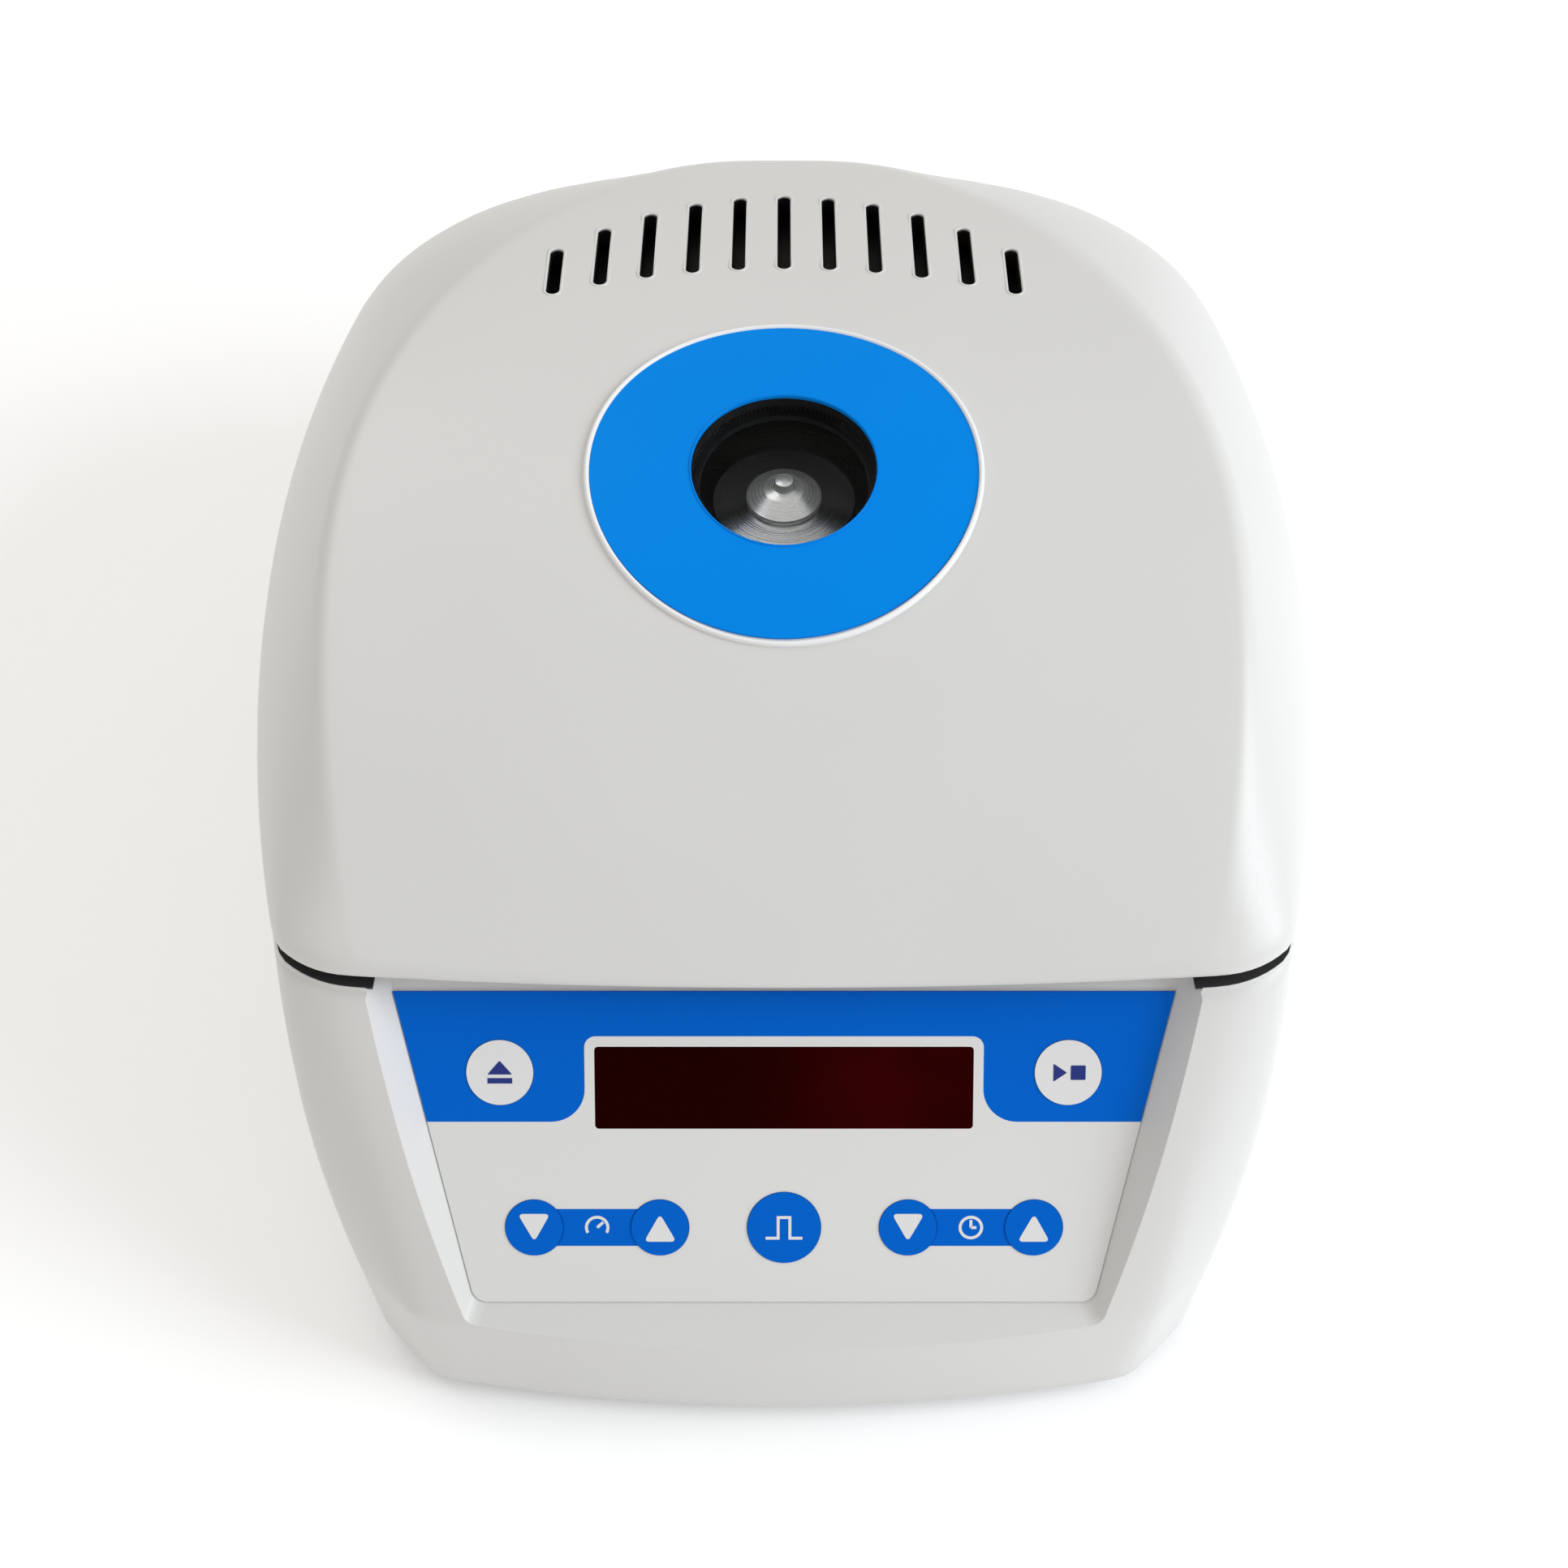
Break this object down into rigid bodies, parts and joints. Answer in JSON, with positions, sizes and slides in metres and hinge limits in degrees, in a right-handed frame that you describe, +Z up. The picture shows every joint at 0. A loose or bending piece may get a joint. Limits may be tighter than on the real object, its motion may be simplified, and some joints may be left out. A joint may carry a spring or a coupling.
{
  "type": "bench microcentrifuge",
  "caption": "Compact bench centrifuge for small sample tubes: domed hinged lid with a round viewing window, sloping key panel, angled tube rotor.",
  "frame": {"origin": "middle of the object's bounding box, on the table under the feet", "axes": "+X to the user's right, +Y from the panel towards the hinges, +Z up"},
  "size_m": [0.2306, 0.2994, 0.1325],
  "materials": {
    "casing": "fine moulded texture, satin",
    "panel_film": "printed film, satin",
    "blue_film": "printed film, satin",
    "ring_film": "white edge",
    "key_grey": "printed film, satin",
    "key_blue": "printed film, satin",
    "display": "dark red filter, gloss",
    "black_plastic": "moulded",
    "steel": "brushed",
    "bright_steel": "polished",
    "aluminium": "turned",
    "anodised": "dark anodised, turned",
    "winding": "drawn",
    "core": "ground",
    "rubber": "moulded",
    "clear": "clear",
    "circuit_board": "solder mask"
  },
  "bodies": {
    "base": {"base_housing": "casing", "bottom_plate": "steel", "bottom_screws": "bright_steel", "rubber_feet": "rubber", "rotor_bowl": "steel", "bowl_seal": "rubber", "motor_housing": "aluminium", "motor_bearings": "steel", "motor_stator": "winding", "motor_mount_plate": "steel", "vibration_mounts": "rubber", "motor_screws": "bright_steel", "panel_overlay": "panel_film", "blue_band": "blue_film", "legend_bars": "blue_film", "display_lens": "display", "panel_carrier": "black_plastic", "control_board": "circuit_board", "display_module": "black_plastic", "key_switches": "black_plastic", "hook_pin": "steel", "latch_frame": "steel", "solenoid": "steel", "hinge_base_leaves": "steel", "hinge_pins": "steel", "hinge_base_screws": "bright_steel", "mains_inlet": "black_plastic", "inlet_pins": "winding", "switch_bezel": "black_plastic", "supply_board": "circuit_board", "supply_spacers": "black_plastic", "supply_components": "black_plastic"},
    "lid": {"lid_shell": "casing", "window_label": "blue_film", "window_ring": "ring_film", "port_tube": "black_plastic", "viewing_window": "clear", "lid_liner": "black_plastic", "liner_screws": "bright_steel", "lid_gasket": "rubber", "lid_striker": "steel", "hinge_lid_leaves": "steel", "hinge_lid_screws": "bright_steel"},
    "spindle": {"rotor": "anodised", "rotor_hub": "aluminium", "rotor_nut": "bright_steel", "drive_shaft": "bright_steel", "motor_rotor": "core"},
    "lid_key": {"lid_key": "key_grey"},
    "start_stop_key": {"start_stop_key": "key_grey"},
    "speed_down_key": {"speed_down_key": "key_blue"},
    "speed_up_key": {"speed_up_key": "key_blue"},
    "short_spin_key": {"short_spin_key": "key_blue"},
    "time_down_key": {"time_down_key": "key_blue"},
    "time_up_key": {"time_up_key": "key_blue"},
    "rocker": {"power_rocker": "black_plastic"},
    "hook": {"latch_hook": "steel"},
    "plunger": {"solenoid_plunger": "steel"}
  },
  "joints": [
    {"name": "lid_hinge", "type": "hinge", "parent": "base", "child": "lid", "pos_m": [0, 0.1457, 0.087], "axis": [-1, 0, 0], "range_deg": [0, 78]},
    {"name": "rotor_spin", "type": "hinge", "parent": "base", "child": "spindle", "pos_m": [0, 0.014, 0.08], "axis": [0, 0, 1], "continuous": true},
    {"name": "lid_press", "type": "slide", "parent": "base", "child": "lid_key", "axis": [0, 0.7314, -0.682], "range_m": [0, 0.0005], "stiffness_N_per_m": 2500},
    {"name": "start_stop_press", "type": "slide", "parent": "base", "child": "start_stop_key", "axis": [0, 0.7314, -0.682], "range_m": [0, 0.0005], "stiffness_N_per_m": 2500},
    {"name": "speed_down_press", "type": "slide", "parent": "base", "child": "speed_down_key", "axis": [0, 0.7314, -0.682], "range_m": [0, 0.0005], "stiffness_N_per_m": 2500},
    {"name": "speed_up_press", "type": "slide", "parent": "base", "child": "speed_up_key", "axis": [0, 0.7314, -0.682], "range_m": [0, 0.0005], "stiffness_N_per_m": 2500},
    {"name": "short_spin_press", "type": "slide", "parent": "base", "child": "short_spin_key", "axis": [0, 0.7314, -0.682], "range_m": [0, 0.0005], "stiffness_N_per_m": 2500},
    {"name": "time_down_press", "type": "slide", "parent": "base", "child": "time_down_key", "axis": [0, 0.7314, -0.682], "range_m": [0, 0.0005], "stiffness_N_per_m": 2500},
    {"name": "time_up_press", "type": "slide", "parent": "base", "child": "time_up_key", "axis": [0, 0.7314, -0.682], "range_m": [0, 0.0005], "stiffness_N_per_m": 2500},
    {"name": "power_switch_tilt", "type": "hinge", "parent": "base", "child": "rocker", "pos_m": [0.024, 0.1372, 0.036], "axis": [1, 0, 0], "range_deg": [-16, 0]},
    {"name": "latch_hook_turn", "type": "hinge", "parent": "base", "child": "hook", "pos_m": [0, -0.0788, 0.058], "axis": [1, 0, 0], "range_deg": [0, 11.59]},
    {"name": "plunger_slide", "type": "slide", "parent": "base", "child": "plunger", "axis": [0, 1, 0], "range_m": [0, 0.00176]}
  ],
  "couplings": [
    {"joint": "latch_hook_turn", "follows": "plunger_slide", "rad_per_m": 111}
  ]
}
